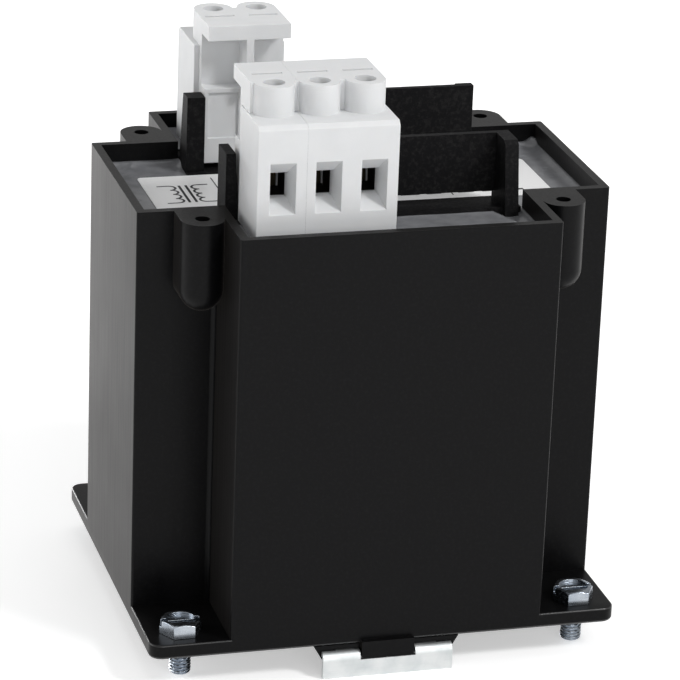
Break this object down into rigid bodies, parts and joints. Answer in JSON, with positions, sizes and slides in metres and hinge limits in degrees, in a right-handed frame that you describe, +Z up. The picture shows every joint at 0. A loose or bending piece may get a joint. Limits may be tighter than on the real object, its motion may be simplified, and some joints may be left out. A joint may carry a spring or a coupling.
{
  "type": "encapsulated chassis transformer with screw terminals",
  "caption": "Resin-filled single-phase EI transformer in a black cross-shaped plastic housing, with grey screw terminals on top, a screw-down base and a rail latch.",
  "frame": {"origin": "middle of the base's underside, the plane that meets the panel or the rail's crown", "axes": "+Z up through the housing, +X along the long side, -Y towards the front row of three terminals and the latch"},
  "size_m": [0.1104, 0.0962, 0.1368],
  "materials": {
    "housing_black": "black glass-filled polyamide, fine satin moulding",
    "former_black": "black glass-filled polyamide",
    "resin_black": "cast resin, glossy dark grey",
    "core_iron": "silicon steel laminations",
    "copper_wire": "enamelled copper wire",
    "insulation_film": "polyester film",
    "label_white": "white film label",
    "terminal_grey": "light grey polyamide",
    "clamp_steel": "zinc-plated steel",
    "contact_brass": "tinned brass strip",
    "zinc_steel": "bright zinc-plated steel",
    "spring_steel": "spring steel wire"
  },
  "bodies": {
    "transformer": {"housing": "housing_black", "core_e_stack": "core_iron", "core_i_stack": "core_iron", "winding_former": "former_black", "primary_winding": "copper_wire", "winding_insulation": "insulation_film", "secondary_winding": "copper_wire", "outer_wrap": "insulation_film", "potting_resin": "resin_black", "rating_label": "label_white", "front_carrier": "former_black", "back_carrier": "former_black", "front_terminal_single": "terminal_grey", "front_terminal_double": "terminal_grey", "back_terminal_double": "terminal_grey", "front_clamp_cages": "clamp_steel", "back_clamp_cages": "clamp_steel", "front_clamp_screws": "clamp_steel", "back_clamp_screws": "clamp_steel", "front_contact_bars": "contact_brass", "back_contact_bars": "contact_brass", "front_lead_wires": "copper_wire", "back_lead_wires": "copper_wire", "mounting_screws": "zinc_steel", "latch_spring": "spring_steel"},
    "latch": {"rail_latch": "zinc_steel"}
  },
  "joints": [
    {"name": "latch_slide", "type": "slide", "parent": "transformer", "child": "latch", "axis": [0, -1, 0], "range_m": [0, 0.005], "stiffness_N_per_m": 2000, "springref_m": -0.002, "deforming": ["latch_spring"]}
  ]
}
